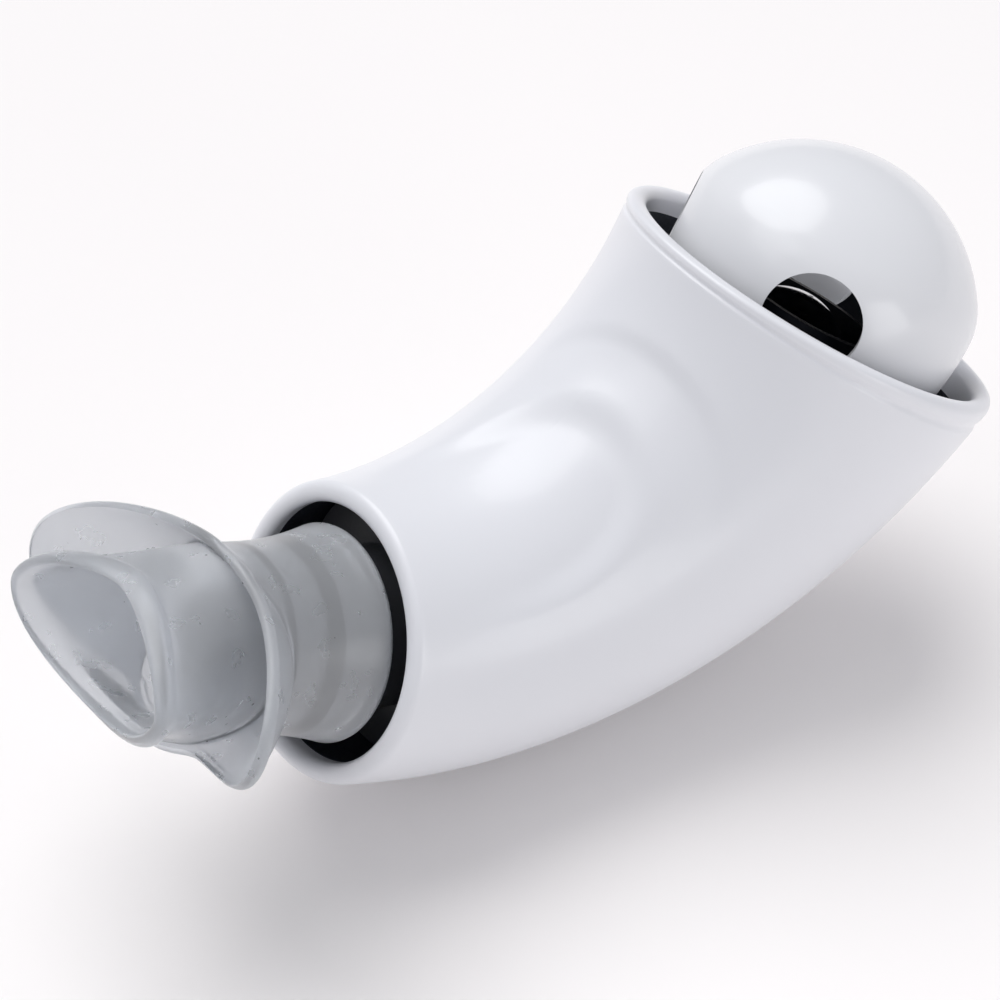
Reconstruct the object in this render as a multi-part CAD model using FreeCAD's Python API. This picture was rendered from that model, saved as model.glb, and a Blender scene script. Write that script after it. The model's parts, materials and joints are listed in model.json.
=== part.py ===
import FreeCAD, Part
import math
import os

from FreeCAD import Vector, Placement, Rotation

# Ball-type positive expiratory pressure device, millimetres and degrees.
# Building frame: origin at the centre of the casing's mouth, +X inward along
# the mouth's axis, +Z toward the hollow side of the bend, Y across the device.

# Casing
axis_radius = 65.0
axis_turn = 80.5
mouth_radius = 20.0
bowl_end_radius = 29.3
casing_wall = 2.9
mouth_rim_round = 1.3
bowl_rim_round = 1.35
rib_thickness = 1.6
rib_depth_in_wall = 1.4
upper_rib_hold = 1.0
lower_rib_hold = 1.8

# Thumb recess, a tongue that sinks in toward the bowl; its angle is measured
# round the casing from the left side toward the hollow side
recess_tip = 55.7
recess_taper_length = 30.0
recess_half_width = 15.5
recess_angle = 73.7
recess_depth = 1.3
recess_run_in = 40.0
recess_proud = 0.3
recess_cut_below = 8.0
recess_cut_above = 12.0

# How the device lies on its round back
rest_tilt = 25.7

# Air passage
bore_radius = 9.0
duct_wall = 1.5
spigot_radius = 11.0
spigot_length = 13.0
spigot_taper = 1.0 / 80.0
connector_flange_start = 10.0
connector_flange_thickness = 2.0
socket_length = 8.0
socket_wall = 2.2
grommet_stations = (30.0, 45.5)
grommet_lip = 1.0
grommet_body = 1.1
grommet_lip_rise = 1.6

# Mouthpiece
sleeve_end = 1.2
sleeve_end_radius = 14.5
sleeve_neck_radius = 12.8
sleeve_bead = 2.4
sleeve_step = 0.3
sleeve_hollow = 0.6
sleeve_flare_share = 0.28
bead_crest_share = 0.25
bead_round_share = 0.22
bead_end_share = 0.8
lip_wall = 1.9
lip_half_width = 18.9
lip_half_height = 10.3
lip_power = 1.65
lip_rise = 0.3
lip_front = 38.5
lip_front_sag = 0.0677
lip_front_wrap = 0.0063
lip_front_slant = 0.07
lip_overrun = 8.0
lip_sheet_reach = 24.0
flange_sheet_reach = 34.0
bite_flange_place = 12.1
bite_flange_half_width = 28.2
bite_flange_half_height = 12.8
bite_flange_power = 2.1
bite_flange_wrap = 0.0222
bite_flange_cup = 0.06
bite_flange_slant = 0.137
bite_flange_lift = 0.7
bite_flange_thickness = 1.8
mouthpiece_turn = -7.4

# Perforated cap
cap_radius = 22.5
cap_half_height = 19.2
cap_centre_rise = 1.35
cap_wall = 1.9
cap_shoulder_start = 12.0
cap_shoulder_round = 10.9
collar_radius = 14.5
collar_wall = 1.9
vent_radius = 6.75
vent_dip = 3.0
vent_turn = 41.0
vent_chamfer = 0.7
vent_count = 4
lug_count = 3
lug_reach = 1.2
lug_height = 2.5
lug_angle = 26.0
lug_root = 0.4
notch_extra_angle = 4.0
stop_post_radius = 4.0
stop_post_bore = 2.4
stop_pad_thickness = 1.5
stop_pin_length = 4.0

# Ball and funnel
ball_radius = 9.5
ball_lift = 6.0
throat_radius = 6.5
cone_half_angle = 30.0
cone_rim_radius = 10.9
guard_rise = 8.8
funnel_wall = 1.3
funnel_base_thickness = 1.8
throat_length = 2.2

# Valve body and lock ring
bowl_floor_depth = 23.4
bowl_floor_thickness = 2.0
bowl_wall = 1.6
floor_hole_radius = 8.0
body_flange_radius = 20.6
body_flange_thickness = 2.0
lock_ring_thickness = 2.4
neck_length = 12.0
neck_depth = 29.5
neck_root = 19.0
neck_shoulder = 3.0
lock_turn = 40.0
lock_screw_circle = 18.6
lock_screw_count = 3
lock_screw_radius = 0.8
lock_screw_length = 6.0
lock_screw_head_radius = 1.5
lock_screw_head_height = 1.1
lock_boss_radius = 1.7
lock_boss_length = 3.4

# Seals
mouthpiece_ring_cord = 0.85
duct_ring_cord = 0.6
flat_seal_thickness = 1.5
funnel_seal_thickness = 1.0
funnel_seal_ledge = 1.0

# Casing screws on the round side of the bend, pegs on its hollow side
screw_stations = (24.0, 58.0)
screw_radius = 1.4
screw_length = 12.0
screw_head_radius = 2.6
screw_head_height = 2.0
screw_head_round = 0.6
screw_drive_radius = 1.0
screw_drive_depth = 1.2
screw_seat = 5.0
screw_boss_radius = 2.8
recess_boss_radius = 4.2
recess_radius = 3.0
plug_length = 4.0
peg_length = 5.0

# Clearances
seat_gap = 0.3
slide_gap = 0.08
snug_gap = 0.1
screw_hole_gap = 0.2
screw_thread_gap = 0.05

# Values that follow from the sizes above
axis_length = math.radians(axis_turn) * axis_radius
duct_radius = bore_radius + duct_wall
socket_bore = duct_radius + snug_gap
overlap = 1.0
cut_through = 2.0
edge_samples = 7
plane_tolerance = 0.02
bend_centre = Vector(0, 0, axis_radius)
BIG = 400.0

X_AXIS = Vector(1, 0, 0)
Y_AXIS = Vector(0, 1, 0)
Z_AXIS = Vector(0, 0, 1)


def arc_point(station, offset=0.0):
    """Point at a distance along the bent axis, offset toward the hollow side."""
    angle = station / axis_radius
    radius = axis_radius - offset
    return Vector(radius * math.sin(angle), 0, axis_radius - radius * math.cos(angle))


def arc_tangent(station):
    angle = station / axis_radius
    return Vector(math.cos(angle), 0, math.sin(angle))


def arc_normal(station):
    angle = station / axis_radius
    return Vector(-math.sin(angle), 0, math.cos(angle))


def in_bowl_frame(shape):
    """Move a shape drawn about Z onto the bowl end, with Z along the bowl's axis."""
    shape.Placement = Placement(arc_point(axis_length), Rotation(Y_AXIS, 90 - axis_turn))
    return shape


def bent_tube(outer, inner, start, end):
    """Tube that follows the bent axis between two stations."""
    face = Part.Face(Part.Wire(Part.makeCircle(outer, Vector(0, 0, 0), X_AXIS)))
    if inner > 0:
        hole = Part.Face(Part.Wire(Part.makeCircle(inner, Vector(0, 0, 0), X_AXIS)))
        face = face.cut(hole).Faces[0]
    face.rotate(bend_centre, Vector(0, -1, 0), math.degrees(start / axis_radius))
    sweep = math.degrees((end - start) / axis_radius)
    return face.revolve(bend_centre, Vector(0, -1, 0), sweep)


def tube(outer, inner, low, high):
    """Upright tube or disc about Z."""
    solid = Part.makeCylinder(outer, high - low, Vector(0, 0, low))
    if inner > 0:
        solid = solid.cut(Part.makeCylinder(inner, high - low, Vector(0, 0, low)))
    return solid


def turned(edges, axis):
    """Solid of revolution from the edges of a closed profile."""
    face = Part.Face(Part.Wire(Part.__sortEdges__(edges)))
    solid = face.revolve(Vector(0, 0, 0), axis, 360)
    if solid.Volume < 0:
        solid.reverse()
    return solid


def outline(points):
    """Straight edges through the points, closed."""
    loop = points + points[:1]
    return [Part.makeLine(a, b) for a, b in zip(loop, loop[1:])]


def copies_round_z(shape, count, first=0.0):
    """The same shape at even angles about Z."""
    pieces = []
    for index in range(count):
        copy = shape.copy()
        copy.rotate(Vector(0, 0, 0), Z_AXIS, first + 360.0 * index / count)
        pieces.append(copy)
    return pieces


def one(shape):
    """The single solid that a boolean leaves."""
    solids = sorted(shape.Solids, key=lambda solid: solid.Volume)
    return solids[-1]


# Casing

def casing_radius(station):
    part_way = station / axis_length
    return mouth_radius + (bowl_end_radius - mouth_radius) * part_way


def horn(offset, overrun=0.0, spans=5):
    """Bent flaring body, its skin moved in or out by the offset at each station."""
    sections = []
    for index in range(spans + 1):
        station = -overrun + (axis_length + 2 * overrun) * index / spans
        radius = casing_radius(station) + offset(station)
        sections.append(Part.Wire(Part.makeCircle(radius, arc_point(station), arc_tangent(station))))
    return Part.makeLoft(sections, True, False)


def skin_moved(amount):
    """Even offset for a horn."""
    return lambda station: amount


def end_edges(shape, station):
    """Edges of the shape that lie in the plane across a station."""
    centre = arc_point(station)
    normal = arc_tangent(station)
    found = []
    for edge in shape.Edges:
        points = edge.discretize(edge_samples)
        if max(abs((point - centre).dot(normal)) for point in points) < plane_tolerance:
            found.append(edge)
    return found


def skin_point(station, angle):
    """Point on the casing's skin at an angle from its left side toward the hollow side."""
    turn = math.radians(angle)
    outward = arc_normal(station) * math.sin(turn) - Y_AXIS * math.cos(turn)
    return arc_point(station) + outward * casing_radius(station)


def recess_floor(station):
    """Offset of the recess floor, just proud at the mouth and deepest near the tip."""
    share = min(max(station / recess_run_in, 0.0), 1.0)
    return recess_proud - (recess_proud + recess_depth) * share * share * (3 - 2 * share)


def recess_cutter():
    """What leaves the thumb recess: a tongue-shaped prism above the recess floor."""
    start = recess_tip - recess_taper_length
    foot = skin_point(start, recess_angle)
    along = arc_tangent(start)
    outward = (foot - arc_point(start)).normalize()
    across = outward.cross(along)
    taper = (skin_point(recess_tip, recess_angle) - foot).dot(along)
    foot = foot - outward * recess_cut_below
    edge = across * recess_half_width
    if recess_half_width > taper:
        tip = Part.Ellipse(foot + edge, foot + along * taper, foot)
    else:
        tip = Part.Ellipse(foot + along * taper, foot + edge, foot)
    tongue = Part.Face(Part.Wire(tip.toShape()))
    tail = Part.Face(Part.makePolygon([
        foot + edge, foot + edge - along * 2 * start,
        foot - edge - along * 2 * start, foot - edge, foot + edge]))
    depth = outward * (recess_cut_below + recess_cut_above)
    prism = tongue.extrude(depth).fuse(tail.extrude(depth))
    return prism.cut(horn(recess_floor, overrun=cut_through, spans=8))


def screw_reach(station):
    """Distance of a casing screw from the bent axis."""
    return casing_radius(station) - casing_wall - screw_boss_radius + rib_depth_in_wall


def screw_points():
    """Where the casing screws cross the joint plane, on the round side of the duct."""
    return [arc_point(station, -screw_reach(station)) for station in screw_stations]


def peg_points():
    """Where the locating pegs cross the joint plane, on the hollow side of the duct."""
    return [arc_point(station, screw_reach(station)) for station in screw_stations]


def wall_fitting(shape, core):
    """Trim a rib or boss so that it ends inside the casing's wall."""
    return shape.common(core)


def connector_ribs(core):
    gap = seat_gap
    hole = duct_radius + snug_gap + socket_wall + gap
    front = connector_flange_start - gap
    back = connector_flange_start + connector_flange_thickness + gap
    reach = casing_radius(back)
    return [
        wall_fitting(bent_tube(reach, hole, front - rib_thickness, front), core),
        wall_fitting(bent_tube(reach, hole, back, back + rib_thickness), core),
    ]


def grommet_ribs(core):
    ribs = []
    for station in grommet_stations:
        reach = casing_radius(station)
        hole = duct_radius + snug_gap + grommet_body + snug_gap
        half = rib_thickness / 2
        ribs.append(wall_fitting(bent_tube(reach, hole, station - half, station + half), core))
    return ribs


def bowl_ribs(core):
    """Two rings that hold the valve body's flange and lock ring between them."""
    top = ring_top() + seat_gap
    bottom = ring_bottom() - body_flange_thickness - seat_gap
    reach = bowl_end_radius
    upper = tube(reach, body_flange_radius - upper_rib_hold, top, top + rib_thickness)
    lower = tube(reach, body_flange_radius - lower_rib_hold, bottom - rib_thickness, bottom)
    slot_length = rib_thickness + 2 * overlap
    for boss in lock_bosses(lock_boss_radius + seat_gap, slot_length, bottom + overlap):
        lower = lower.cut(boss)
    for head in lock_bosses(lock_screw_head_radius + seat_gap, slot_length, top + rib_thickness + overlap):
        upper = upper.cut(head)
    return [wall_fitting(in_bowl_frame(rib), core) for rib in (upper, lower)]


def casing_half(side, shell, core):
    """Half of the casing, with its ribs, bosses and pegs; side is -1 or 1."""
    half_space = Part.makeBox(BIG, BIG, BIG, Vector(-BIG / 2, 0 if side > 0 else -BIG, -BIG / 2))
    half = shell
    for rib in connector_ribs(core) + grommet_ribs(core) + bowl_ribs(core):
        half = half.fuse(rib)
    boss_radius = recess_boss_radius if side > 0 else screw_boss_radius
    for point in screw_points():
        boss = Part.makeCylinder(boss_radius, BIG, point, Y_AXIS * side)
        half = half.fuse(wall_fitting(boss, core))
    for point in peg_points():
        boss = Part.makeCylinder(screw_boss_radius, BIG, point, Y_AXIS * side)
        half = half.fuse(wall_fitting(boss, core))
    half = half.common(half_space)
    if side > 0:
        for point in screw_points():
            half = half.cut(Part.makeCylinder(screw_radius + screw_hole_gap, BIG, point, Y_AXIS))
            seat = point + Y_AXIS * screw_seat
            half = half.cut(Part.makeCylinder(recess_radius, BIG, seat, Y_AXIS))
        for point in peg_points():
            socket = Part.makeCylinder(screw_radius + snug_gap, peg_length + seat_gap, point, Y_AXIS)
            half = half.cut(socket)
    else:
        depth = screw_length - screw_seat + 2 * seat_gap
        for point in screw_points():
            half = half.cut(Part.makeCylinder(screw_radius + screw_thread_gap, depth, point, -Y_AXIS))
        for point in peg_points():
            root = point - Y_AXIS * overlap
            half = half.fuse(Part.makeCylinder(screw_radius, peg_length + overlap, root, Y_AXIS))
    return one(half)


def casing_parts():
    skin = horn(skin_moved(0.0))
    shell = skin.cut(horn(skin_moved(-casing_wall), overrun=cut_through))
    shell = shell.makeFillet(mouth_rim_round, end_edges(shell, 0.0))
    shell = shell.makeFillet(bowl_rim_round, end_edges(shell, axis_length))
    shell = shell.cut(recess_cutter())
    core = horn(skin_moved(rib_depth_in_wall - casing_wall))
    return {
        "casing_left": casing_half(-1, shell, core),
        "casing_right": casing_half(1, shell, core),
        "screw_plugs": screw_plugs(),
    }


def casing_screw(point):
    seat = point + Y_AXIS * screw_seat
    shank = Part.makeCylinder(screw_radius, screw_length, seat, -Y_AXIS)
    head = Part.makeCylinder(screw_head_radius, screw_head_height, seat, Y_AXIS)
    top = seat + Y_AXIS * screw_head_height
    drive = Part.makeCylinder(screw_drive_radius, screw_drive_depth, top, -Y_AXIS)
    head = head.makeFillet(screw_head_round, [head.Edges[0]])
    return one(head.fuse(shank).cut(drive))


def screw_plugs():
    """Caps that close the screw recesses flush with the casing."""
    inside = horn(skin_moved(-snug_gap))
    plugs = []
    for station in screw_stations:
        share = screw_reach(station) / casing_radius(station)
        surface = casing_radius(station) * math.sqrt(1 - share * share)
        foot = arc_point(station, -screw_reach(station)) + Y_AXIS * (surface - plug_length)
        bar = Part.makeCylinder(recess_radius - snug_gap, BIG, foot, Y_AXIS)
        plugs.append(one(bar.common(inside)))
    return Part.makeCompound(plugs)


# Air passage

def inlet_connector():
    """Cone that the mouthpiece pushes onto, flange and duct socket in one moulding."""
    back = connector_flange_start + connector_flange_thickness
    tip_radius = spigot_radius - spigot_length * spigot_taper
    tip = Vector(-spigot_length, 0, 0)
    body = Part.makeCone(tip_radius, spigot_radius, spigot_length, tip, X_AXIS)
    body = body.fuse(bent_tube(spigot_radius, 0, 0.0, back))
    flange_radius = casing_radius(connector_flange_start) - casing_wall - seat_gap
    body = body.fuse(bent_tube(flange_radius, 0, connector_flange_start, back))
    body = body.fuse(bent_tube(socket_bore + socket_wall, 0, back - overlap, back + socket_length))
    entry = tip - X_AXIS * overlap
    body = body.cut(Part.makeCylinder(bore_radius, spigot_length + overlap, entry, X_AXIS))
    body = body.cut(bent_tube(bore_radius, 0, 0.0, back))
    body = body.cut(bent_tube(socket_bore, 0, back, back + socket_length + overlap))
    return one(body.cut(seal_groove(back + socket_length / 2)))


def duct_start():
    return connector_flange_start + connector_flange_thickness + snug_gap


def duct_end():
    return axis_length - neck_depth - neck_shoulder - snug_gap


def air_duct():
    return bent_tube(duct_radius, bore_radius, duct_start(), duct_end())


def seal_in_bore(station):
    """Square ring between the duct and the groove round it."""
    inner = duct_radius + snug_gap / 2
    return bent_tube(inner + 2 * duct_ring_cord, inner, station - duct_ring_cord, station + duct_ring_cord)


def seal_groove(station):
    half = duct_ring_cord + snug_gap
    return bent_tube(duct_radius + 2 * half, 0, station - half, station + half)


def duct_seal_station():
    return axis_length - neck_depth - (neck_length + neck_shoulder) / 2


def connector_seal():
    return seal_in_bore(connector_flange_start + connector_flange_thickness + socket_length / 2)


def duct_seal():
    return seal_in_bore(duct_seal_station())


def duct_grommet(station):
    """Soft ring that holds the duct in the casing's rib."""
    inner = duct_radius
    groove = inner + snug_gap + grommet_body
    lip = groove + grommet_lip_rise
    half = rib_thickness / 2 + snug_gap
    body = bent_tube(lip, inner, station - half - grommet_lip, station + half + grommet_lip)
    return one(body.cut(bent_tube(lip + overlap, groove, station - half, station + half)))


# Valve body, lock ring and what stands in them

def ring_bottom():
    return -bowl_floor_depth + flat_seal_thickness + seat_gap + lug_height + seat_gap


def ring_top():
    return ring_bottom() + lock_ring_thickness


def lug_radius():
    return collar_radius + lug_reach


def lock_bosses(radius, length, top):
    """Posts under the valve body's flange; one stands on the hollow side of the bend."""
    post = Part.makeCylinder(radius, length, Vector(-lock_screw_circle, 0, top - length))
    return copies_round_z(post, lock_screw_count)


def valve_body():
    floor_top = -bowl_floor_depth
    floor_bottom = floor_top - bowl_floor_thickness
    inner = lug_radius() + seat_gap
    outer = inner + bowl_wall
    body = tube(outer, 0, floor_bottom, ring_bottom())
    flange_bottom = ring_bottom() - body_flange_thickness
    body = body.fuse(tube(body_flange_radius, 0, flange_bottom, ring_bottom()))
    for boss in lock_bosses(lock_boss_radius, lock_boss_length + body_flange_thickness, ring_bottom()):
        body = body.fuse(boss)
    body = in_bowl_frame(body)
    neck_start = axis_length - neck_depth - neck_length
    neck_end = axis_length - neck_root
    body = body.fuse(bent_tube(socket_bore + socket_wall, 0, neck_start, neck_end))
    cup = in_bowl_frame(tube(inner, 0, floor_top, 0).fuse(tube(outer + overlap, 0, ring_bottom(), 0)))
    hole = in_bowl_frame(tube(floor_hole_radius, 0, floor_bottom - overlap, floor_top + overlap))
    body = body.cut(cup).cut(hole)
    shoulder = axis_length - neck_depth - neck_shoulder
    above_floor = in_bowl_frame(tube(body_flange_radius, 0, floor_bottom, 0))
    body = body.cut(bent_tube(bore_radius, 0, shoulder - overlap, neck_end).cut(above_floor))
    body = body.cut(bent_tube(socket_bore, 0, neck_start - overlap, shoulder))
    body = body.cut(seal_groove(duct_seal_station()))
    pilots = lock_bosses(lock_screw_radius + screw_thread_gap, lock_screw_length, ring_bottom() + overlap)
    for pilot in pilots:
        body = body.cut(in_bowl_frame_keep(pilot))
    return one(body)


def in_bowl_frame_keep(shape):
    """As in_bowl_frame, for a copy that already carries a turn about Z."""
    moved = shape.copy()
    bowl = Placement(arc_point(axis_length), Rotation(Y_AXIS, 90 - axis_turn))
    moved.Placement = bowl.multiply(shape.Placement)
    return moved


def lug_block(extra_angle, clearance, low, high):
    """Sector between the collar and the lug circle, centred on the X direction."""
    span = lug_angle + extra_angle
    ring = Part.makeCylinder(lug_radius() + clearance, high - low, Vector(0, 0, low), Z_AXIS, span)
    hub = Part.makeCylinder(collar_radius - collar_wall / 2, high - low, Vector(0, 0, low))
    block = ring.cut(hub)
    block.rotate(Vector(0, 0, 0), Z_AXIS, -span / 2)
    return block


def lock_ring():
    """Ring under which the cap's lugs turn, with a notch for each lug."""
    ring = tube(body_flange_radius, collar_radius + seat_gap, ring_bottom(), ring_top())
    notch = lug_block(notch_extra_angle, seat_gap, ring_bottom() - overlap, ring_top() + overlap)
    for cut in copies_round_z(notch, lug_count, first=lock_turn):
        ring = ring.cut(cut)
    hole_length = lock_ring_thickness + 2 * overlap
    for hole in lock_bosses(lock_screw_radius + screw_hole_gap, hole_length, ring_top() + overlap):
        ring = ring.cut(hole)
    return in_bowl_frame(one(ring))


def lock_screws():
    head_top = ring_top() + lock_screw_head_height
    heads = lock_bosses(lock_screw_head_radius, lock_screw_head_height, head_top)
    shanks = lock_bosses(lock_screw_radius, lock_screw_length, ring_top())
    screws = [in_bowl_frame_keep(one(head.fuse(shank))) for head, shank in zip(heads, shanks)]
    return Part.makeCompound(screws)


def funnel_base():
    return -bowl_floor_depth + funnel_seal_thickness


def throat_top():
    return funnel_base() + funnel_base_thickness + throat_length


def cone_rim():
    return throat_top() + (cone_rim_radius - throat_radius) / math.tan(math.radians(cone_half_angle))


def funnel():
    """Cone that the ball rests in, with a guard wall round the ball."""
    slope = math.radians(cone_half_angle)
    skin = funnel_wall / math.cos(slope)
    drop = funnel_wall * math.tan(slope / 2)
    base_radius = collar_radius - collar_wall - 2 * seat_gap
    low = funnel_base()
    profile = outline([
        Vector(throat_radius, 0, low),
        Vector(base_radius, 0, low),
        Vector(base_radius, 0, low + funnel_base_thickness),
        Vector(throat_radius + skin, 0, low + funnel_base_thickness),
        Vector(throat_radius + skin, 0, throat_top()),
        Vector(cone_rim_radius + funnel_wall, 0, cone_rim() - drop),
        Vector(cone_rim_radius + funnel_wall, 0, cone_rim() + guard_rise),
        Vector(cone_rim_radius, 0, cone_rim() + guard_rise),
        Vector(cone_rim_radius, 0, cone_rim()),
        Vector(throat_radius, 0, throat_top()),
    ])
    return in_bowl_frame(turned(profile, Z_AXIS))


def ball_rest():
    """Height of the ball's centre when it sits in the cone."""
    slope = math.radians(cone_half_angle)
    return throat_top() + (ball_radius + seat_gap) / math.sin(slope) - throat_radius / math.tan(slope)


def ball():
    return in_bowl_frame(Part.makeSphere(ball_radius, Vector(0, 0, ball_rest())))


def funnel_seal():
    low = -bowl_floor_depth
    outer = collar_radius - collar_wall - 2 * seat_gap
    inner = floor_hole_radius + funnel_seal_ledge
    return in_bowl_frame(tube(outer, inner, low, low + funnel_seal_thickness))


def cap_seal():
    low = -bowl_floor_depth
    inner = collar_radius - collar_wall
    return in_bowl_frame(tube(collar_radius, inner, low, low + flat_seal_thickness))


# Cap

def stop_height():
    return ball_rest() + ball_radius + ball_lift + snug_gap


def cap_profile(shrink, foot_radius):
    """Three tangent arcs from the cap's foot over its shoulder to the crown, and both ends."""
    start = math.radians(cap_shoulder_start)
    middle = Vector(0, 0, cap_centre_rise)
    shoulder = middle + Vector(math.cos(start), 0, math.sin(start)) * (cap_radius - cap_shoulder_round)
    peak = cap_centre_rise + cap_half_height
    drop = peak - shoulder.z
    crown = (shoulder.x ** 2 + drop ** 2 - cap_shoulder_round ** 2) / (2 * (drop - cap_shoulder_round))
    crown_centre = Vector(0, 0, peak - crown)
    lean = math.atan2(shoulder.z - crown_centre.z, shoulder.x)
    low = -math.acos(foot_radius / (cap_radius - shrink))

    def arc(centre, radius, first, last):
        points = []
        for angle in (first, (first + last) / 2, last):
            points.append(centre + Vector(math.cos(angle), 0, math.sin(angle)) * (radius - shrink))
        return Part.Arc(*points).toShape(), points[0], points[-1]

    side, foot, _ = arc(middle, cap_radius, low, start)
    bend, _, _ = arc(shoulder, cap_shoulder_round, start, lean)
    top, _, tip = arc(crown_centre, crown, lean, math.pi / 2)
    return [side, bend, top], foot, tip


def cap_shell():
    collar_inner = collar_radius - collar_wall
    bottom = -bowl_floor_depth + flat_seal_thickness
    outer, outer_foot, outer_tip = cap_profile(0.0, collar_radius)
    inner, inner_foot, inner_tip = cap_profile(cap_wall, collar_inner)
    edges = outer + inner + [
        Part.makeLine(outer_foot, Vector(collar_radius, 0, bottom)),
        Part.makeLine(Vector(collar_radius, 0, bottom), Vector(collar_inner, 0, bottom)),
        Part.makeLine(Vector(collar_inner, 0, bottom), inner_foot),
        Part.makeLine(inner_tip, outer_tip),
    ]
    return turned(edges, Z_AXIS)


def vent_cutter():
    """Round vent through the side of the cap, with a chamfered mouth."""
    dip = math.radians(vent_dip)
    heading = Vector(math.cos(dip), 0, -math.sin(dip))
    centre = Vector(0, 0, cap_centre_rise)
    drill = Part.makeCylinder(vent_radius, cap_radius, centre + heading * (cap_radius / 2), heading)
    sag = cap_radius - math.sqrt(cap_radius ** 2 - vent_radius ** 2)
    mouth = centre + heading * (cap_radius - sag - vent_chamfer)
    flare = Part.makeCone(vent_radius, vent_radius + cap_wall + sag, cap_wall + sag, mouth, heading)
    return drill.fuse(flare)


def cap():
    body = cap_shell()
    for vent in copies_round_z(vent_cutter(), vent_count, first=vent_turn):
        body = body.cut(vent)
    lug_low = -bowl_floor_depth + flat_seal_thickness + seat_gap
    lug = lug_block(0.0, 0.0, lug_low, lug_low + lug_height)
    lug = lug.cut(Part.makeCylinder(collar_radius - lug_root, BIG, Vector(0, 0, -BIG / 2)))
    for block in copies_round_z(lug, lug_count):
        body = body.fuse(block)
    post_top = cap_centre_rise + cap_half_height - cap_wall / 2
    post = tube(stop_post_radius, 0, stop_height() + stop_pad_thickness, post_top)
    body = body.fuse(post)
    bore_depth = stop_pin_length + 2 * snug_gap
    low = stop_height() + stop_pad_thickness
    body = body.cut(tube(stop_post_bore, 0, low - overlap, low + bore_depth))
    return in_bowl_frame(one(body))


def ball_stop():
    """Soft pad under the cap's post that the ball strikes at the top of its travel."""
    low = stop_height()
    pad = tube(stop_post_radius, 0, low, low + stop_pad_thickness)
    pin = tube(stop_post_bore - snug_gap, 0, low, low + stop_pad_thickness + stop_pin_length)
    return in_bowl_frame(one(pad.fuse(pin)))


# Mouthpiece

def oval_wire(place, half_width, half_height, power, lift, points=16):
    """Closed smooth oval across the mouth's axis."""
    ring = []
    for index in range(points):
        angle = 2 * math.pi * index / points
        c = math.cos(angle)
        s = math.sin(angle)
        y = math.copysign(half_width * abs(c) ** (2 / power), c)
        z = math.copysign(half_height * abs(s) ** (2 / power), s)
        ring.append(Vector(place, y, z + lift))
    curve = Part.BSplineCurve()
    curve.interpolate(Points=ring, PeriodicFlag=True)
    return Part.Wire(curve.toShape())


def bowed_sheet(place, wrap, cup, slant, depth, reach):
    """Solid between a doubly bowed face across the mouth's axis and its copy further along X."""
    grid = []
    steps = 4
    for i in range(steps + 1):
        row = []
        y = reach * (2 * i / steps - 1)
        for j in range(steps + 1):
            z = reach * (2 * j / steps - 1)
            row.append(Vector(place + wrap * y * y + cup * z * z + slant * z, y, z))
        grid.append(row)
    sheet = Part.BSplineSurface()
    sheet.interpolate(grid)
    solid = sheet.toShape().extrude(Vector(depth, 0, 0))
    return Part.Solid(solid) if solid.ShapeType != "Solid" else solid


def lip_tube(shrink, start_radius, start, end):
    """Tube that turns from round at the sleeve to the oval of the lips."""
    sections = []
    spans = 4
    for index in range(spans + 1):
        part_way = index / spans
        ease = part_way * part_way * (3 - 2 * part_way)
        width = start_radius + (lip_half_width - shrink - start_radius) * ease
        height = start_radius + (lip_half_height - shrink - start_radius) * ease
        power = 2 + (lip_power - 2) * ease
        place = start + (end - start) * part_way
        sections.append(oval_wire(place, width, height, power, lip_rise * ease))
    return Part.makeLoft(sections, True, False)


def sleeve_front():
    return -spigot_length - lip_wall


def lip_tube_far():
    return -lip_front - lip_overrun


def sleeve():
    """Round rear of the mouthpiece, flaring to a rounded bead at its open end."""
    neck = sleeve_front()
    crown = sleeve_end - sleeve_bead
    middle_radius = sleeve_neck_radius + (sleeve_end_radius - sleeve_neck_radius) * sleeve_flare_share
    crest_radius = sleeve_end_radius - sleeve_bead * bead_round_share
    end_radius = sleeve_end_radius - sleeve_bead * bead_end_share
    flare = Part.Arc(
        Vector(neck, 0, sleeve_neck_radius),
        Vector((neck + crown) / 2 - sleeve_hollow, 0, middle_radius),
        Vector(crown, 0, sleeve_end_radius),
    ).toShape()
    bead = Part.Arc(
        Vector(crown, 0, sleeve_end_radius),
        Vector(sleeve_end - sleeve_bead * bead_crest_share, 0, crest_radius),
        Vector(sleeve_end, 0, end_radius),
    ).toShape()
    edges = [
        flare,
        bead,
        Part.makeLine(Vector(sleeve_end, 0, end_radius), Vector(sleeve_end, 0, 0)),
        Part.makeLine(Vector(sleeve_end, 0, 0), Vector(neck, 0, 0)),
        Part.makeLine(Vector(neck, 0, 0), Vector(neck, 0, sleeve_neck_radius)),
    ]
    return turned(edges, X_AXIS)


def socket_cutter():
    """Tapered bore of the mouthpiece, a sliding fit on the connector's cone."""
    tip = -spigot_length - seat_gap
    tip_radius = spigot_radius + slide_gap + tip * spigot_taper
    end = sleeve_end + overlap
    profile = outline([
        Vector(tip, 0, 0),
        Vector(tip, 0, tip_radius),
        Vector(end, 0, spigot_radius + slide_gap + end * spigot_taper),
        Vector(end, 0, 0),
    ])
    return turned(profile, X_AXIS)


def seal_place():
    return -spigot_length / 2


def lip_skin():
    """Outside of the lip tube, its root just inside the sleeve."""
    root_radius = sleeve_neck_radius - sleeve_step
    return lip_tube(0.0, root_radius, sleeve_front() + overlap, lip_tube_far())


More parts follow.
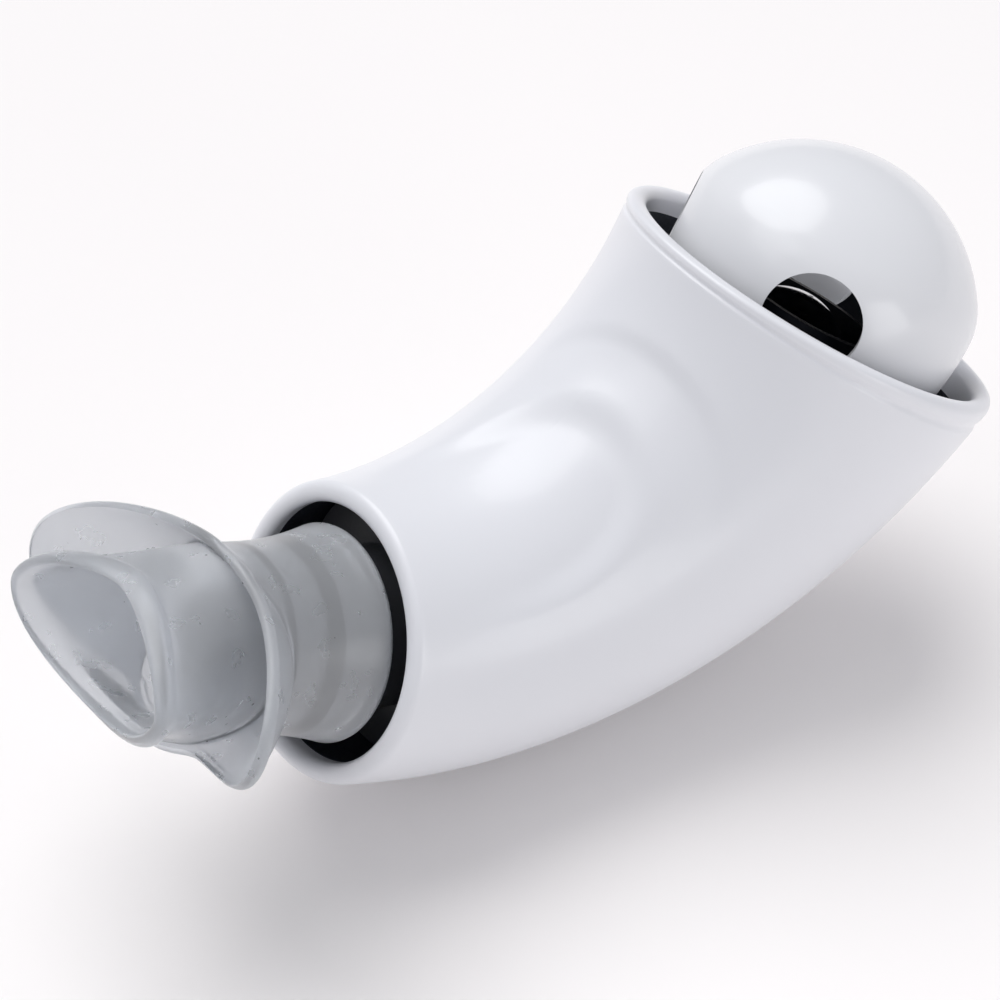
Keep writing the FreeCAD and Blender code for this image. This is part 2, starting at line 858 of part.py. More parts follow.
def lip_piece():
    """Oval tube that the lips close on, its front edge bowed."""
    front = bowed_sheet(-lip_front, lip_front_wrap, lip_front_sag, -lip_front_slant,
                        -lip_front, lip_sheet_reach)
    passage = lip_tube(lip_wall, bore_radius - sleeve_step,
                       sleeve_front() + 2 * overlap, lip_tube_far() - overlap)
    return lip_skin().cut(front).cut(passage)


def bite_flange():
    """Cupped oval plate that stands in front of the teeth."""
    plate = bowed_sheet(-bite_flange_place, -bite_flange_wrap, -bite_flange_cup, bite_flange_slant,
                        bite_flange_thickness, flange_sheet_reach)
    rim = oval_wire(-BIG, bite_flange_half_width, bite_flange_half_height,
                    bite_flange_power, bite_flange_lift, points=20)
    plate = one(plate.common(Part.Face(rim).extrude(Vector(2 * BIG, 0, 0))))
    front = Vector(sleeve_front(), 0, 0)
    inside = Part.makeCylinder(sleeve_neck_radius - sleeve_step, BIG, front, X_AXIS)
    return one(plate.cut(lip_skin()).cut(inside))


def mouthpiece():
    entry = Vector(sleeve_front() - overlap, 0, 0)
    rear = sleeve().cut(Part.makeCylinder(bore_radius, spigot_length, entry, X_AXIS))
    rear = rear.cut(socket_cutter())
    half = mouthpiece_ring_cord + snug_gap
    groove_radius = spigot_radius + slide_gap + 2 * half
    groove_foot = Vector(seal_place() - half, 0, 0)
    rear = rear.cut(Part.makeCylinder(groove_radius, 2 * half, groove_foot, X_AXIS))
    whole = one(lip_piece().fuse(rear).fuse(bite_flange()))
    whole.rotate(Vector(0, 0, 0), X_AXIS, mouthpiece_turn)
    return whole


def mouthpiece_seal():
    """Square ring in the sleeve that grips the connector's cone."""
    inner = spigot_radius + seal_place() * spigot_taper + slide_gap
    outer = inner + 2 * mouthpiece_ring_cord
    foot = Vector(seal_place() - mouthpiece_ring_cord, 0, 0)
    ring = Part.makeCylinder(outer, 2 * mouthpiece_ring_cord, foot, X_AXIS)
    return ring.cut(Part.makeCylinder(inner, 2 * mouthpiece_ring_cord, foot, X_AXIS))


# Assembly

def all_parts():
    parts = casing_parts()
    parts["casing_screws"] = Part.makeCompound([casing_screw(point) for point in screw_points()])
    parts["mouthpiece"] = mouthpiece()
    parts["mouthpiece_seal"] = mouthpiece_seal()
    parts["inlet_connector"] = inlet_connector()
    parts["connector_seal"] = connector_seal()
    parts["air_duct"] = air_duct()
    parts["duct_grommets"] = Part.makeCompound([duct_grommet(station) for station in grommet_stations])
    parts["duct_seal"] = duct_seal()
    parts["valve_body"] = valve_body()
    parts["lock_ring"] = lock_ring()
    parts["lock_screws"] = lock_screws()
    parts["funnel_seal"] = funnel_seal()
    parts["funnel"] = funnel()
    parts["ball"] = ball()
    parts["cap_seal"] = cap_seal()
    parts["cap"] = cap()
    parts["ball_stop"] = ball_stop()
    return parts


def stand(parts):
    """Tilt the device as it lies, with its lowest point on the ground at the origin."""
    turn = Placement(Vector(0, 0, 0), Rotation(Y_AXIS, rest_tilt))
    for shape in parts.values():
        shape.Placement = turn.multiply(shape.Placement)
    box = FreeCAD.BoundBox()
    for shape in parts.values():
        box.add(shape.optimalBoundingBox(False, False))
    shift = Vector(-(box.XMin + box.XMax) / 2, -(box.YMin + box.YMax) / 2, -box.ZMin)
    lift = Placement(shift, Rotation())
    for shape in parts.values():
        shape.Placement = lift.multiply(shape.Placement)
    return lift.multiply(turn)


def main():
    os.makedirs("parts", exist_ok=True)
    parts = all_parts()
    stand(parts)
    for name, shape in parts.items():
        shape.exportStep(os.path.join("parts", name + ".step"))


main()
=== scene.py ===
import json
import logging
import math
from dataclasses import dataclass, field, replace
from enum import Enum
from typing import Callable, Dict, List, Optional, Sequence, Tuple

import bmesh
import bpy
from mathutils import Matrix, Vector


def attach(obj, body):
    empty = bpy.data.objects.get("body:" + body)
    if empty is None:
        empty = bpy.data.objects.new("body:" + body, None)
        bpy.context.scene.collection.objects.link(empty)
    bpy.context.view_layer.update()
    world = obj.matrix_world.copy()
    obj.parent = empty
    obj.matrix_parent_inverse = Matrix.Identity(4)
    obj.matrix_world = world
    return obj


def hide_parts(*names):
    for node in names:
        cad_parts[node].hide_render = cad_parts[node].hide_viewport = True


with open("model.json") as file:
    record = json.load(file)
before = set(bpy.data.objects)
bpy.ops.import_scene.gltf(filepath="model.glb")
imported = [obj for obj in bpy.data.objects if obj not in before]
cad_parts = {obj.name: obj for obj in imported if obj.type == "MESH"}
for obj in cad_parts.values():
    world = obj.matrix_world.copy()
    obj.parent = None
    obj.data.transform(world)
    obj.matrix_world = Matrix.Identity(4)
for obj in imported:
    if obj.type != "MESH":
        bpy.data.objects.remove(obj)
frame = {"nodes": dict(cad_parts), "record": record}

# Positive expiratory pressure device: a bent flaring casing, a soft mouthpiece in
# its small end and a perforated cap over the ball and cone in its large end.
# Sizes are in millimetres in the fields and become metres through MM.

LOG = logging.getLogger("device")
MM = 0.001
TURN = 2.0 * math.pi
MERGE_MM = 0.002
BEND_RADIUS = 65.0
BEND_ANGLE = math.radians(80.5)
Colour = Tuple[float, float, float, float]
Shape = Callable[[float], Vector]
Place = Tuple[float, float, float]
Curve = Callable[[float], Place]


# Materials

class Nodes:
    """Short way to build one material's node tree."""

    def __init__(self, name: str) -> None:
        """Start an empty material.

        Args:
            name: the material's name.
        """
        self.material = bpy.data.materials.new(name)
        self.material.use_nodes = True
        self.tree = self.material.node_tree
        self.tree.nodes.clear()
        self.output = self.tree.nodes.new("ShaderNodeOutputMaterial")

    def add(self, kind: str, **values: object) -> bpy.types.Node:
        """Add a node and set its named inputs.

        Args:
            kind: Blender's node type.
            **values: input names, with underscores for spaces, and their values.

        Returns:
            The new node.
        """
        node = self.tree.nodes.new(kind)
        for key, value in values.items():
            node.inputs[key.replace("_", " ")].default_value = value
        return node

    def link(self, source: bpy.types.NodeSocket, target: bpy.types.NodeSocket) -> None:
        """Join two sockets."""
        self.tree.links.new(source, target)

    def ramp(self, source: bpy.types.NodeSocket, stops: Sequence[Tuple[float, Colour]]) -> bpy.types.NodeSocket:
        """Colour ramp on a value.

        Args:
            source: the value's socket.
            stops: positions and colours, from low to high.

        Returns:
            The ramp's colour socket.
        """
        node = self.tree.nodes.new("ShaderNodeValToRGB")
        elements = node.color_ramp.elements
        while len(elements) < len(stops):
            elements.new(0.5)
        for element, (position, colour) in zip(elements, stops):
            element.position = position
            element.color = colour
        self.link(source, node.inputs["Fac"])
        return node.outputs["Color"]

    def spread(self, source: bpy.types.NodeSocket, low: float, high: float) -> bpy.types.NodeSocket:
        """Map a noise value onto a range.

        Args:
            source: a value between about 0.3 and 0.7, as noise gives.
            low: result for the low end.
            high: result for the high end.

        Returns:
            The mapped value's socket.
        """
        node = self.add("ShaderNodeMapRange", From_Min=0.3, From_Max=0.7, To_Min=low, To_Max=high)
        self.link(source, node.inputs["Value"])
        return node.outputs["Result"]


@dataclass(frozen=True)
class Finish:
    """Moulded or turned surface with grain at a real scale."""

    name: str
    colour: Tuple[float, float, float]
    variation: float = 0.03
    patch_mm: float = 30.0
    grain_mm: float = 0.5
    relief_mm: float = 0.006
    roughness: Tuple[float, float] = (0.24, 0.34)
    metallic: float = 0.0
    coat: float = 0.0
    specular: float = 0.5
    stretch: Tuple[float, float, float] = (1.0, 1.0, 1.0)

    def shade(self, factor: float) -> Colour:
        """Base colour made lighter or darker."""
        red, green, blue = (min(channel * factor, 1.0) for channel in self.colour)
        return (red, green, blue, 1.0)

    def make(self) -> bpy.types.Material:
        """Build the material.

        Returns:
            The finished material.
        """
        nodes = Nodes(self.name)
        place = nodes.tree.nodes.new("ShaderNodeTexCoord")
        mapping = nodes.add("ShaderNodeMapping", Scale=self.stretch)
        nodes.link(place.outputs["Object"], mapping.inputs["Vector"])
        patches = nodes.add("ShaderNodeTexNoise", Scale=1.0 / (self.patch_mm * MM), Detail=3.0)
        grain = nodes.add("ShaderNodeTexNoise", Scale=1.0 / (self.grain_mm * MM), Detail=2.0)
        nodes.link(mapping.outputs["Vector"], patches.inputs["Vector"])
        nodes.link(mapping.outputs["Vector"], grain.inputs["Vector"])
        shader = nodes.add("ShaderNodeBsdfPrincipled", Metallic=self.metallic, Coat_Weight=self.coat)
        shader.inputs["Specular IOR Level"].default_value = self.specular
        colour = nodes.ramp(patches.outputs["Fac"], [
            (0.3, self.shade(1.0 - self.variation)),
            (0.7, self.shade(1.0 + self.variation)),
        ])
        nodes.link(colour, shader.inputs["Base Color"])
        nodes.link(nodes.spread(grain.outputs["Fac"], *self.roughness), shader.inputs["Roughness"])
        bump = nodes.add("ShaderNodeBump", Strength=0.4, Distance=self.relief_mm * MM)
        nodes.link(grain.outputs["Fac"], bump.inputs["Height"])
        nodes.link(bump.outputs["Normal"], shader.inputs["Normal"])
        self.extra(nodes, shader)
        nodes.link(shader.outputs["BSDF"], nodes.output.inputs["Surface"])
        return nodes.material

    def extra(self, nodes: Nodes, shader: bpy.types.Node) -> None:
        """Hook for finishes that need more than the common sockets."""


@dataclass(frozen=True)
class Silicone(Finish):
    """Cloudy soft silicone that lets some light through."""

    transmission: float = 0.7
    index: float = 1.41

    def extra(self, nodes: Nodes, shader: bpy.types.Node) -> None:
        """Let light through the piece."""
        shader.inputs["Transmission Weight"].default_value = self.transmission
        shader.inputs["IOR"].default_value = self.index


class Plastic(Enum):
    """Finishes of the device's pieces."""

    CASING = Finish("white_casing", (0.78, 0.785, 0.82), roughness=(0.29, 0.33), coat=0.10,
                    grain_mm=2.5, relief_mm=0.003, patch_mm=40.0, variation=0.012)
    CAP = Finish("white_cap", (0.79, 0.795, 0.82), roughness=(0.23, 0.27), coat=0.15,
                 grain_mm=2.5, relief_mm=0.003, patch_mm=40.0, variation=0.012)
    # Painted shade: a near-black colour put on the inner faces of the casing and the cap, which are white plastic
    # in shade.
    DARK_INSIDE = Finish("painted_shade_inside", (0.010, 0.013, 0.024), roughness=(0.55, 0.70), variation=0.15)
    SOFT = Silicone("cloudy_silicone", (0.80, 0.82, 0.85), roughness=(0.27, 0.30), patch_mm=12.0,
                    grain_mm=3.0, variation=0.03, relief_mm=0.001, transmission=0.70)
    # Painted shade: the connector is made near-black so the gap round the mouthpiece's sleeve looks shaded.
    CONNECTOR = Finish("connector_painted_shade", (0.060, 0.062, 0.070), roughness=(0.40, 0.52))
    DUCT = Finish("grey_duct", (0.42, 0.43, 0.46), roughness=(0.40, 0.52))
    VALVE = Finish("pale_valve", (0.45, 0.46, 0.49), roughness=(0.35, 0.45))
    FUNNEL = Finish("navy_funnel", (0.006, 0.008, 0.016), roughness=(0.50, 0.65), variation=0.15)
    BALL = Finish("polished_ball", (0.55, 0.55, 0.57), metallic=1.0, roughness=(0.10, 0.16), variation=0.04)
    SCREW = Finish("bright_screw", (0.50, 0.50, 0.52), metallic=1.0, roughness=(0.22, 0.34), grain_mm=0.2)
    RUBBER = Finish("dark_rubber", (0.030, 0.030, 0.034), roughness=(0.62, 0.78), grain_mm=0.3, relief_mm=0.012)


class Wardrobe:
    """Makes each finish once and puts it on pieces."""

    def __init__(self) -> None:
        """Start with no materials."""
        self.made: Dict[Plastic, bpy.types.Material] = {}

    def material(self, plastic: Plastic) -> bpy.types.Material:
        """The material of a finish, made on first use."""
        if plastic not in self.made:
            self.made[plastic] = plastic.value.make()
        return self.made[plastic]

    def dress(self, piece: bpy.types.Object, plastic: Plastic) -> None:
        """Give a piece one finish all over.

        Args:
            piece: a mesh object.
            plastic: the finish.
        """
        piece.data.materials.clear()
        piece.data.materials.append(self.material(plastic))

    def line(self, piece: bpy.types.Object, plastic: Plastic, chosen: Callable[[Vector, Vector], bool]) -> None:
        """Paint shade on some faces of a dressed piece as a second finish.

        Args:
            piece: a mesh object with its first finish on.
            plastic: the painted shade finish.
            chosen: says yes to a face from its centre and normal.
        """
        piece.data.materials.append(self.material(plastic))
        for face in piece.data.polygons:
            if chosen(face.center, face.normal):
                face.material_index = 1

    def dress_nodes(self, plastics: Dict[str, Plastic]) -> None:
        """Give CAD nodes their finishes.

        Args:
            plastics: the finish of each node by its name.
        """
        for name, plastic in plastics.items():
            self.dress(frame["nodes"][name], plastic)
            LOG.info("node %s wears %s", name, plastic.value.name)


# Modelling

class Bench:
    """Modelling steps shared by the sub-assemblies."""

    @staticmethod
    def clear() -> None:
        """Leave edit mode and deselect everything."""
        if bpy.context.object is not None and bpy.context.object.mode != "OBJECT":
            bpy.ops.object.mode_set(mode="OBJECT")
        bpy.ops.object.select_all(action="DESELECT")

    @staticmethod
    def pick(piece: bpy.types.Object) -> None:
        """Make one object the only selected and active one."""
        Bench.clear()
        piece.select_set(True)
        bpy.context.view_layer.objects.active = piece

    @staticmethod
    def place_selected(shape: Shape, sides: int) -> None:
        """Put the selected ring's points on a hoop, in their order round it.

        Args:
            shape: gives the place at an angle in radians.
            sides: points in the ring.
        """
        mesh = bmesh.from_edit_mesh(bpy.context.object.data)
        ring = [vertex for vertex in mesh.verts if vertex.select]
        ring.sort(key=lambda vertex: vertex.index)
        for index, vertex in enumerate(ring):
            vertex.co = shape(TURN * index / sides)
        bmesh.update_edit_mesh(bpy.context.object.data)

    @staticmethod
    def loft(name: str, hoops: Sequence[Shape], sides: int, closed: bool) -> bpy.types.Object:
        """Extrude a circle from hoop to hoop.

        Args:
            name: the piece's name.
            hoops: the hoops in order.
            sides: points round each hoop.
            closed: the last hoop meets the first one; otherwise both ends are filled.

        Returns:
            The new object, its normals facing out.
        """
        Bench.clear()
        bpy.ops.mesh.primitive_circle_add(vertices=sides, radius=1.0)
        piece = bpy.context.object
        piece.name = name
        bpy.ops.object.mode_set(mode="EDIT")
        bpy.ops.mesh.select_mode(type="VERT")
        bpy.ops.mesh.select_all(action="SELECT")
        Bench.place_selected(hoops[0], sides)
        if not closed:
            bpy.ops.mesh.select_mode(type="EDGE")
            bpy.ops.mesh.select_all(action="SELECT")
        for shape in hoops[1:]:
            bpy.ops.mesh.extrude_region_move()
            Bench.place_selected(shape, sides)
        bpy.ops.mesh.select_mode(type="VERT")
        bpy.ops.mesh.select_all(action="SELECT")
        bpy.ops.mesh.remove_doubles(threshold=MERGE_MM * MM)
        if not closed:
            bpy.ops.mesh.select_all(action="SELECT")
            bpy.ops.mesh.fill_holes(sides=0)
        bpy.ops.mesh.select_all(action="SELECT")
        bpy.ops.mesh.normals_make_consistent(inside=False)
        bpy.ops.object.mode_set(mode="OBJECT")
        return piece

    @staticmethod
    def smooth(piece: bpy.types.Object, degrees: float = 32.0) -> None:
        """Shade smooth except across sharp edges."""
        Bench.pick(piece)
        bpy.ops.object.shade_smooth_by_angle(angle=math.radians(degrees))

    @staticmethod
    def apply(piece: bpy.types.Object, modifier: bpy.types.Modifier) -> None:
        """Apply a modifier to its piece."""
        Bench.pick(piece)
        bpy.ops.object.modifier_apply(modifier=modifier.name)

    @staticmethod
    def cut(piece: bpy.types.Object, tool: bpy.types.Object, operation: str = "DIFFERENCE") -> None:
        """Cut, join or keep what two solids share.

        Args:
            piece: the piece that stays.
            tool: the solid that is used up.
            operation: DIFFERENCE, UNION or INTERSECT.
        """
        modifier = piece.modifiers.new("cut", "BOOLEAN")
        modifier.operation = operation
        modifier.solver = "EXACT"
        modifier.object = tool
        Bench.apply(piece, modifier)
        bpy.data.objects.remove(tool, do_unlink=True)

    @staticmethod
    def cylinder(name: str, radius: float, start: Vector, end: Vector, sides: int = 64) -> bpy.types.Object:
        """Round bar between two points, sizes in metres.

        Args:
            name: the object's name.
            radius: its radius.
            start: centre of one end.
            end: centre of the other end.
            sides: facets round it.

        Returns:
            The new object with its place in its mesh.
        """
        Bench.clear()
        turn = (end - start).to_track_quat("Z", "Y").to_euler()
        bpy.ops.mesh.primitive_cylinder_add(
            vertices=sides, radius=radius, depth=(end - start).length, location=(start + end) / 2, rotation=turn)
        bar = bpy.context.object
        bar.name = name
        bpy.ops.object.transform_apply(location=True, rotation=True, scale=True)
        return bar


@dataclass(frozen=True)
class BentAxis:
    """Circular arc that the casing and its air passage follow."""

    mouth: Vector
    heading: float
    radius: float
    length: float

    def angle(self, station: float) -> float:
        """Elevation of the axis at a station, in radians."""
        return self.heading + station / self.radius

    def tangent(self, station: float) -> Vector:
        """Direction along the axis, away from the mouth."""
        angle = self.angle(station)
        return Vector((math.cos(angle), 0.0, math.sin(angle)))

    def hollow(self, station: float) -> Vector:
        """Direction toward the hollow side of the bend."""
        angle = self.angle(station)
        return Vector((-math.sin(angle), 0.0, math.cos(angle)))

    def point(self, station: float) -> Vector:
        """Place on the axis, in metres.

        Args:
            station: distance from the mouth along the axis, in millimetres.

        Returns:
            The place in the frame.
        """
        centre = self.mouth + self.hollow(0.0) * self.radius * MM
        return centre - self.hollow(station) * self.radius * MM


@dataclass(frozen=True)
class Tongue:
    """Tongue-shaped hollow in the casing's skin, its tip toward the bowl."""

    apex: float
    reach: float
    half_width: float
    angle: float
    depth: float
    edge: float
    start: float
    run_in: float

    def sunk(self, station: float, angle: float, radius: float) -> float:
        """Depth of the hollow at a place on the skin.

        Args:
            station: place along the axis.
            angle: place round the skin in radians, 0 on the left side, a quarter turn on the hollow side.
            radius: the skin's radius at the station.

        Returns:
            Depth in millimetres.
        """
        across = abs(radius * (angle - math.radians(self.angle)))
        along = max(station - (self.apex - self.reach), 0.0) / self.reach
        inside = (1.0 - math.hypot(along, across / self.half_width)) * self.half_width
        return self.depth * ease(inside / self.edge) * ease((station - self.start) / self.run_in)


@dataclass
class Casing:
    """Two-part casing, a bent flaring shell with rounded rims and a thumb recess."""

    axis: BentAxis
    mouth_radius: float = 20.0
    bowl_radius: float = 29.3
    wall: float = 2.9
    rim_round: float = 1.4
    sides: int = 192
    span: float = 1.1
    recess: Tongue = Tongue(56.4, 30.0, 16.0, 73.7, 1.25, 5.0, 2.0, 38.0)
    wave: Tongue = Tongue(71.6, 25.0, 22.4, 76.0, 0.5, 4.4, 50.0, 16.0)
    plug_stations: Tuple[float, float] = (24.0, 58.0)
    plug_inset: float = 4.3
    plug_radius: float = 3.0
    plug_length: float = 4.4
    groove_back: float = 3.0
    groove_half: float = 1.0
    groove_depth: float = 0.28
    # Stations where the painted shade on the inner skin starts and stops.
    painted_shade_start: float = 3.0
    painted_shade_stop: float = 3.5

    def radius(self, station: float) -> float:
        """Radius of the outer skin at a station."""
        share = station / self.axis.length
        return self.mouth_radius + (self.bowl_radius - self.mouth_radius) * share

    def dent(self, station: float, angle: float) -> float:
        """Depth of the thumb recess, the shallow wave behind it and the groove behind the bowl's rim."""
        radius = self.radius(station)
        off = abs(self.axis.length - self.groove_back - station) / self.groove_half
        groove = self.groove_depth * (1.0 - ease(off))
        return groove + self.recess.sunk(station, angle, radius) + self.wave.sunk(station, angle, radius)

    def gets_painted_shade(self, place: Vector, normal: Vector) -> bool:
        """Whether a face of the inner skin gets the near-black painted shade, from its centre."""
        arm = place - self.axis.mouth - self.axis.hollow(0.0) * self.axis.radius * MM
        station = (math.atan2(arm.x, -arm.z) - self.axis.heading) * self.axis.radius
        away = math.hypot(math.hypot(arm.x, arm.z) - self.axis.radius * MM, arm.y)
        within = self.painted_shade_start < station < self.axis.length - self.painted_shade_stop
        return within and away < (self.radius(station) - 0.6 * self.wall) * MM

    def hoop(self, station: float, offset: float, dented: bool = False) -> Shape:
        """Round hoop square to the axis.

        Args:
            station: place along the axis.
            offset: how far the hoop lies outside the nominal skin.
            dented: the hoop follows the recess.

        Returns:
            The hoop's shape.
        """
        centre = self.axis.point(station)
        hollow = self.axis.hollow(station)
        radius = self.radius(station) + offset

        def shape(angle: float) -> Vector:
            reach = radius - (self.dent(station, angle) if dented else 0.0)
            return centre + (hollow * math.sin(angle) - Vector((0.0, math.cos(angle), 0.0))) * reach * MM

        return shape

    def rim(self, station: float, inward: float) -> List[Shape]:
        """Hoops round a rounded rim.

        Args:
            station: where the rim's face lies.
            inward: 1 where the axis goes on past the rim, -1 where the shell lies behind it.

        Returns:
            Hoops from the outer skin to the inner one.
        """
        hoops = []
        flat = self.wall - 2 * self.rim_round
        for corner in (0, 1):
            for step in range(9):
                turn = math.pi / 2 * (corner + step / 8)
                back = self.rim_round * (1 - math.sin(turn))
                drop = self.rim_round * (1 - math.cos(turn)) + flat * corner
                hoops.append(self.hoop(station + inward * back, -drop))
        return hoops

    def shell(self) -> bpy.types.Object:
        """Whole casing as one closed shell.

        Returns:
            The shell.
        """
        first = self.rim_round
        last = self.axis.length - self.rim_round
        count = int((last - first) / self.span)
        stations = [first + (last - first) * index / count for index in range(count + 1)]
        groove = self.axis.length - self.groove_back
        stations = [station for station in stations if abs(station - groove) > self.groove_half]
        stations += [groove + self.groove_half * step / 6 for step in range(-6, 7)]
        stations.sort()
        hoops = [self.hoop(station, 0.0, dented=True) for station in stations]
        hoops += self.rim(self.axis.length, -1.0)
        hoops += [self.hoop(station, -self.wall) for station in reversed(stations[1:-1])]
        hoops += list(reversed(self.rim(0.0, 1.0)))
        hoops.append(hoops[0])
        return Bench.loft("casing_shell", hoops, self.sides, closed=True)

    def halves(self) -> List[bpy.types.Object]:
        """Cut the shell in its joint plane.

        Returns:
            The left and the right half.
        """
        whole = self.shell()
        pieces = []
        for name, keep_right in (("casing_left_shell", False), ("casing_right_shell", True)):
            Bench.pick(whole)
            bpy.ops.object.duplicate()
            half = bpy.context.object
            half.name = name
            bpy.ops.object.mode_set(mode="EDIT")
            bpy.ops.mesh.select_all(action="SELECT")
            bpy.ops.mesh.bisect(
                plane_co=(0.0, 0.0, 0.0), plane_no=(0.0, 1.0, 0.0), use_fill=True,
                clear_inner=keep_right, clear_outer=not keep_right)
            bpy.ops.object.mode_set(mode="OBJECT")
            pieces.append(half)
        bpy.data.objects.remove(whole, do_unlink=True)
        return pieces

    def plug_seats(self, half: bpy.types.Object) -> None:
        """Cut the screw recesses that the plugs close."""
        for station in self.plug_stations:
            radius = self.radius(station)
            reach = radius - self.plug_inset
            surface = math.sqrt(radius * radius - reach * reach)
            foot = self.axis.point(station) - self.axis.hollow(station) * reach * MM
            start = foot + Vector((0.0, surface - self.plug_length, 0.0)) * MM
            end = foot + Vector((0.0, surface + self.plug_length, 0.0)) * MM
            Bench.cut(half, Bench.cylinder("plug_seat", self.plug_radius * MM, start, end, 48))

    def build(self, wardrobe: Wardrobe) -> None:
        """Model both halves and put them on the casing's body."""
        left, right = self.halves()
        self.plug_seats(right)
        for piece, node in ((left, "casing_left"), (right, "casing_right")):
            Bench.smooth(piece)
            wardrobe.dress(piece, Plastic.CASING)
            # Painted shade: the inner skin's faces go near-black.
            wardrobe.line(piece, Plastic.DARK_INSIDE, self.gets_painted_shade)
            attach(piece, "casing")
            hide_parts(node)
            LOG.info("built %s", piece.name)


def ease(value: float) -> float:
    """Smooth step from 0 to 1 over the same range."""
    value = min(max(value, 0.0), 1.0)
    return value * value * (3.0 - 2.0 * value)


@dataclass(frozen=True)
class Oval:
    """Closed curve round the mouthpiece, square to its axis or bowed.

    Sizes are in millimetres; along is measured from the casing's mouth, positive inward.
    """

    along: float
    half_width: float
    half_height: float
    power: float = 2.0
    lift: float = 0.0
    wrap: float = 0.0
    cup: float = 0.0
    slant: float = 0.0

    def place(self, angle: float) -> Place:
        """Place along, across and up at an angle."""
        cosine = math.cos(angle)
        sine = math.sin(angle)
        across = math.copysign(abs(cosine) ** (2 / self.power), cosine) * self.half_width
        up = math.copysign(abs(sine) ** (2 / self.power), sine) * self.half_height + self.lift
        return self.bowed(across, up), across, up

    def bowed(self, across: float, up: float) -> float:
        """Place along of the bowed sheet that the curve lies on."""
        return self.along + self.wrap * across * across + self.cup * up * up + self.slant * up

    def grown(self, amount: float, shift: float = 0.0) -> "Oval":
        """Oval that is larger all round and moved along the axis."""
        return replace(
            self, along=self.along + shift,
            half_width=self.half_width + amount, half_height=self.half_height + amount)


def between(first: Curve, last: Curve, share: float, along_share: Optional[float] = None) -> Curve:
    """Curve between two others.

    Args:
        first: the curve at share 0.
        last: the curve at share 1.
        share: how far toward the last one across and up.
        along_share: how far along, the same where not given.

    Returns:
        The curve between.
    """
    along_share = share if along_share is None else along_share

    def curve(angle: float) -> Place:
        start = first(angle)
        end = last(angle)
        return (
            start[0] + (end[0] - start[0]) * along_share,
            start[1] + (end[1] - start[1]) * share,
            start[2] + (end[2] - start[2]) * share)

    return curve


def ring(along: float, radius: float) -> Curve:
    """Flat round curve."""
    return Oval(along, radius, radius).place


